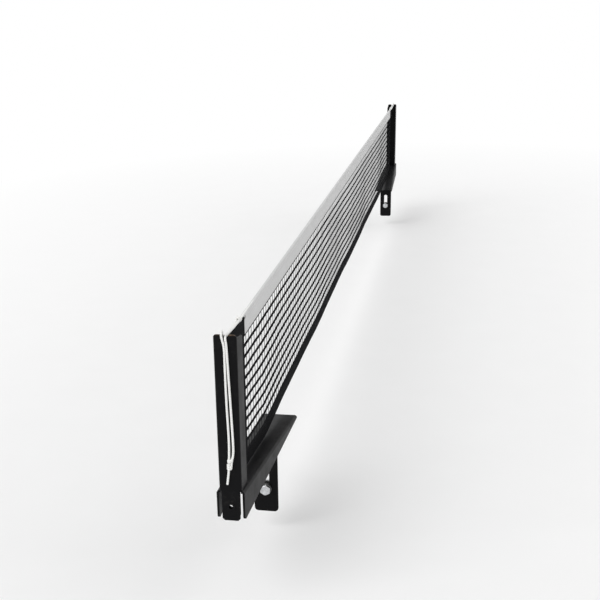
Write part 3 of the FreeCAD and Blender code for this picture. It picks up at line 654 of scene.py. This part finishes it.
def zinc_plate(name, dark, light, rough):
    material, nodes, links, shader = new_material(name)
    place = node(nodes, "ShaderNodeTexCoord").outputs["Object"]
    centred = node(nodes, "ShaderNodeVectorMath", operation="MULTIPLY_ADD")
    links.new(place, centred.inputs[0])
    centred.inputs[1].default_value = (1.0, 0.0, 1.0)
    centred.inputs[2].default_value = (0.0, 0.0, 0.059)
    reach = node(nodes, "ShaderNodeVectorMath", operation="LENGTH")
    links.new(centred.outputs["Vector"], reach.inputs[0])
    turns = maths(nodes, links, "MULTIPLY", reach.outputs["Value"], 2.0 * math.pi / RING_PITCH)
    rings = maths(nodes, links, "SINE", turns)
    mottle = noise(nodes, links, place, 420.0, 5.0, 0.6)
    tone = spread(nodes, links, mottle, 0.0, 1.0)
    links.new(blend_colours(nodes, links, tone, dark, light), shader.inputs["Base Color"])
    links.new(spread(nodes, links, mottle, rough, rough + 0.16), shader.inputs["Roughness"])
    shader.inputs["Metallic"].default_value = 1.0
    height = maths(nodes, links, "ADD", maths(nodes, links, "MULTIPLY", rings, 0.35), mottle)
    bumped(nodes, links, shader, height, 0.00003, 0.5)
    return material


BRIGHT_ZINC = zinc_plate("bright_zinc", (0.45, 0.46, 0.47), (0.68, 0.69, 0.70), 0.26)
DULL_ZINC = zinc_plate("dull_zinc", (0.07, 0.07, 0.07), (0.15, 0.15, 0.145), 0.42)

# %% [markdown]
# ## Cord and cloth
#
# The cord is white polyester. Its yarns are finer than the braid's ridges, so each ridge gets thin lines that
# follow the slant, and the valleys between are darker because less light gets in. The tape is plain weave:
# threads over and under at half a millimetre. Webbing is a coarser black weave with slanting ribs. All of
# these read the UV map, which holds metres of cloth, so a thread has the same size everywhere.

# %% Cloth materials
def uv_axes(nodes, links):
    """The two lengths of the UV map, in metres: round or across, and along."""
    chart = node(nodes, "ShaderNodeUVMap", uv_map="metres")
    split = node(nodes, "ShaderNodeSeparateXYZ")
    links.new(chart.outputs["UV"], split.inputs["Vector"])
    return split.outputs["X"], split.outputs["Y"]


def ribs(nodes, links, value, pitch):
    """A sine wave of that pitch, from 0 to 1."""
    wave = maths(nodes, links, "SINE", maths(nodes, links, "MULTIPLY", value, 2.0 * math.pi / pitch))
    return maths(nodes, links, "ADD", maths(nodes, links, "MULTIPLY", wave, 0.5), 0.5)


def braid_cloth():
    material, nodes, links, shader = new_material("white_braid")
    across, along = uv_axes(nodes, links)
    place = node(nodes, "ShaderNodeTexCoord").outputs["Object"]
    # one slant of the braid: the ridges climb one pitch over the way round
    slant = maths(nodes, links, "MULTIPLY", across, BRAID_YARNS / (2.0 * math.pi * CORD_RADIUS / 1000.0) * 0.5)
    climb = maths(nodes, links, "MULTIPLY", along, 1.0 / BRAID_PITCH)
    left = maths(nodes, links, "ABSOLUTE", maths(nodes, links, "COSINE", maths(
        nodes, links, "MULTIPLY", maths(nodes, links, "ADD", slant, climb), 2.0 * math.pi)))
    right = maths(nodes, links, "ABSOLUTE", maths(nodes, links, "COSINE", maths(
        nodes, links, "MULTIPLY", maths(nodes, links, "SUBTRACT", slant, climb), 2.0 * math.pi)))
    height = maths(nodes, links, "MAXIMUM", left, right)
    soil = noise(nodes, links, place, 120.0, 4.0)
    tone = maths(nodes, links, "MULTIPLY", spread(nodes, links, height, 0.35, 1.0, 0.35, 0.95),
                 spread(nodes, links, soil, 0.88, 1.0))
    links.new(blend_colours(nodes, links, tone, (0.40, 0.40, 0.39), (0.92, 0.92, 0.90)), shader.inputs["Base Color"])
    fibre = ribs(nodes, links, maths(nodes, links, "ADD", along, maths(nodes, links, "MULTIPLY", across, 1.2)), 0.00016)
    fuzz = noise(nodes, links, place, 3200.0, 3.0)
    bumped(nodes, links, shader, maths(nodes, links, "ADD", fibre, fuzz), 0.00005, 0.6)
    shader.inputs["Roughness"].default_value = 0.82
    shader.inputs["Sheen Weight"].default_value = 0.25
    shader.inputs["Sheen Roughness"].default_value = 0.4
    return material


def woven_cloth(name, dark, light, pitch, slanted, rough, sheen, relief, shine=0.5):
    """Plain weave, or slanting ribs: two waves across each other, their product is the height of the threads."""
    material, nodes, links, shader = new_material(name)
    across, along = uv_axes(nodes, links)
    place = node(nodes, "ShaderNodeTexCoord").outputs["Object"]
    if slanted:
        first = ribs(nodes, links, maths(nodes, links, "ADD", across, along), pitch)
        second = ribs(nodes, links, along, pitch * 0.5)
    else:
        first = ribs(nodes, links, across, pitch)
        second = ribs(nodes, links, along, pitch)
    weave = maths(nodes, links, "MULTIPLY", maths(nodes, links, "ADD", first, 0.6),
                  maths(nodes, links, "ADD", second, 0.6))
    soil = noise(nodes, links, place, 26.0, 5.0, 0.6)
    slub = noise(nodes, links, place, 900.0, 3.0, 0.6)
    tone = maths(nodes, links, "MULTIPLY", spread(nodes, links, weave, 0.62, 1.0, 0.3, 1.9),
                 maths(nodes, links, "MULTIPLY", spread(nodes, links, soil, 0.9, 1.0),
                       spread(nodes, links, slub, 0.9, 1.0)))
    links.new(blend_colours(nodes, links, tone, dark, light), shader.inputs["Base Color"])
    links.new(spread(nodes, links, slub, rough - 0.06, rough + 0.06), shader.inputs["Roughness"])
    shader.inputs["Sheen Weight"].default_value = sheen
    shader.inputs["Specular IOR Level"].default_value = shine
    height = maths(nodes, links, "ADD", weave, maths(nodes, links, "MULTIPLY", slub, 0.6))
    bumped(nodes, links, shader, height, relief, 0.7)
    return material


WHITE_BRAID = braid_cloth()
WHITE_TAPE = woven_cloth("white_tape_weave", (0.34, 0.34, 0.34), (0.67, 0.67, 0.67), pitch=0.0006, slanted=False,
                         rough=0.85, sheen=0.15, relief=0.00008)
SEWING_THREAD = woven_cloth("sewing_thread", (0.60, 0.60, 0.58), (0.86, 0.86, 0.84), pitch=0.0003, slanted=True,
                            rough=0.7, sheen=0.2, relief=0.00003)
BLACK_WEBBING = woven_cloth("black_webbing_weave", (0.002, 0.002, 0.0025), (0.011, 0.011, 0.012), pitch=0.0011,
                            slanted=True, rough=0.8, sheen=0.0, relief=0.00015, shine=0.02)
NET_CORD = woven_cloth("black_net_cord", (0.002, 0.002, 0.0025), (0.009, 0.009, 0.01), pitch=0.0008, slanted=True,
                       rough=0.7, sheen=0.0, relief=0.00006, shine=0.02)

# %% [markdown]
# ## Give the pieces their finish
#
# The steel parts and the fasteners keep their CAD meshes and only get better materials. The soft parts
# replace their CAD solids.

# %% Finishes and places
STEEL = ("arm", "mount_angle", "post", "post_rivet")
FASTENERS = {"bolt": BRIGHT_ZINC, "nut": BRIGHT_ZINC, "washers": DULL_ZINC}
for end in ENDS:
    for kind, material in [(k, POWDER_COAT) for k in STEEL] + list(FASTENERS.items()):
        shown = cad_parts["%s_%s" % (end, kind)]
        shown.data.materials.clear()
        shown.data.materials.append(material)


def finish_piece(name, material, slot, body, *nodes):
    piece = PIECES[name]
    piece.data.materials.append(material)
    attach(piece, body)
    if nodes:
        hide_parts(*nodes)
    return piece


finish_piece("net_cord_braid", WHITE_BRAID, "white_cord", "near_clamp", "net_cord")
finish_piece("tape_band", WHITE_TAPE, "white_tape", "near_clamp", "top_tape")
finish_piece("tape_stitches", SEWING_THREAD, "white_tape", "near_clamp")
finish_piece("lower_border", BLACK_WEBBING, "black_webbing", "near_clamp", "lower_hem")
finish_piece("mesh_along", NET_CORD, "black_mesh", "near_clamp", "net_mesh")
finish_piece("mesh_across", NET_CORD, "black_mesh", "near_clamp")
finish_piece("mesh_knots", NET_CORD, "black_mesh", "near_clamp")
for end in ENDS:
    clamp = end + "_clamp"
    finish_piece(end + "_tie_cord_braid", WHITE_BRAID, "white_cord", clamp, end + "_tie_cord")
    finish_piece(end + "_front_knot_turns", WHITE_BRAID, "white_cord", clamp, end + "_front_knot")
    finish_piece(end + "_net_knot_turns", WHITE_BRAID, "white_cord", "near_clamp", end + "_net_knot")
    finish_piece(end + "_end_border", BLACK_WEBBING, "black_webbing", "near_clamp", end + "_end_band")
    finish_piece(end + "_corner_webbing", BLACK_WEBBING, "black_webbing", "near_clamp", end + "_corner_patch")

# %% [markdown]
# ## Knots of the net's cord
#
# For the net's cord the loop gathers its front knots and net knots in a list; nothing more is done with them here.

# %% Knots of the net's cord
for name, (line, place, whole) in LINES.items():
    knots = [PIECES[end + "_front_knot_turns"] for end in ENDS if name == "net_cord"]
    knots += [PIECES[end + "_net_knot_turns"] for end in ENDS if name == "net_cord"]

# %% [markdown]
# ## Floor and light
#
# The studio is a pale floor and a white sky. The sky is white for the camera and for reflections, and dimmer
# as a lamp, so that white cloth keeps its threads. Two wide suns light the near clamp and the far one alike.
# Far from the net the floor turns white, so that no horizon shows behind it.

# %% Floor
FADE_START = 0.35
FADE_END = 1.3


def white_rays(nodes, links):
    """One for a ray from the camera, a reflection or a look through glass, nil for light."""
    rays = node(nodes, "ShaderNodeLightPath")
    return maths(nodes, links, "MAXIMUM", rays.outputs["Is Camera Ray"],
                 maths(nodes, links, "MAXIMUM", rays.outputs["Is Glossy Ray"], rays.outputs["Is Transmission Ray"]))


def floor_material():
    """Pale paint near the net, white further off: the distance is to a line as long as the net."""
    material, nodes, links, shader = new_material("pale_floor")
    place = node(nodes, "ShaderNodeTexCoord").outputs["Object"]
    grain = noise(nodes, links, place, 14.0, 3.0)
    links.new(blend_colours(nodes, links, grain, (0.86, 0.86, 0.86), (0.88, 0.88, 0.88)), shader.inputs["Base Color"])
    shader.inputs["Roughness"].default_value = 0.9
    beyond = node(nodes, "ShaderNodeVectorMath", operation="ABSOLUTE")
    links.new(place, beyond.inputs[0])
    past = node(nodes, "ShaderNodeVectorMath", operation="SUBTRACT")
    links.new(beyond.outputs["Vector"], past.inputs[0])
    past.inputs[1].default_value = (0.0, HALF_SPAN / 1000.0, 0.0)
    kept = node(nodes, "ShaderNodeVectorMath", operation="MAXIMUM")
    links.new(past.outputs["Vector"], kept.inputs[0])
    reach = node(nodes, "ShaderNodeVectorMath", operation="LENGTH")
    links.new(kept.outputs["Vector"], reach.inputs[0])
    faded = spread(nodes, links, reach.outputs["Value"], 0.0, 1.0, FADE_START, FADE_END)
    glow = node(nodes, "ShaderNodeEmission", Strength=1.0)
    choice = node(nodes, "ShaderNodeMixShader")
    links.new(maths(nodes, links, "MULTIPLY", faded, white_rays(nodes, links)), choice.inputs["Fac"])
    links.new(shader.outputs["BSDF"], choice.inputs[1])
    links.new(glow.outputs["Emission"], choice.inputs[2])
    links.new(choice.outputs["Shader"], nodes["Material Output"].inputs["Surface"])
    return material


bpy.ops.mesh.primitive_plane_add(size=120.0, location=(0.0, 0.0, FLOOR_LEVEL))
floor = bpy.context.object
floor.name = "studio_floor"
floor.data.materials.append(floor_material())

# %% Sky and lamps
SKY_LIGHT = 0.62
world = bpy.data.worlds.new("studio")
bpy.context.scene.world = world
world.use_nodes = True
nodes, links = world.node_tree.nodes, world.node_tree.links
seen = nodes["Background"]
seen.inputs["Color"].default_value = (1.0, 1.0, 1.0, 1.0)
seen.inputs["Strength"].default_value = 1.0
dim = node(nodes, "ShaderNodeBackground", Strength=SKY_LIGHT)
dim.inputs["Color"].default_value = (1.0, 1.0, 1.0, 1.0)
choice = node(nodes, "ShaderNodeMixShader")
links.new(white_rays(nodes, links), choice.inputs["Fac"])
links.new(dim.outputs["Background"], choice.inputs[1])
links.new(seen.outputs["Background"], choice.inputs[2])
links.new(choice.outputs["Shader"], nodes["World Output"].inputs["Surface"])


def soft_sun(name, towards_light, spread_degrees, strength):
    """Sun with a wide disc: a lamp shines along its own minus Z axis, so its Z axis points towards the light."""
    lamp = bpy.data.lights.new(name, "SUN")
    lamp.angle = math.radians(spread_degrees)
    lamp.energy = strength
    made = bpy.data.objects.new(name, lamp)
    bpy.context.collection.objects.link(made)
    back = np.array(towards_light, float)
    back /= np.linalg.norm(back)
    right = np.cross([0.0, 0.0, 1.0], back)
    right /= np.linalg.norm(right)
    up = np.cross(back, right)
    made.matrix_world = Matrix(np.array([right, up, back, [0.0, 0.0, 1.0]]).T.tolist() + [[0.0, 0.0, 0.0, 1.0]])
    return made


soft_sun("left_sun", (-0.8, -1.2, 1.2), 45.0, 1.6)
soft_sun("right_sun", (1.4, 0.2, 1.0), 60.0, 0.6)

view = bpy.context.scene.view_settings
view.view_transform = "Standard"

# %% Update the scene
bpy.context.view_layer.update()
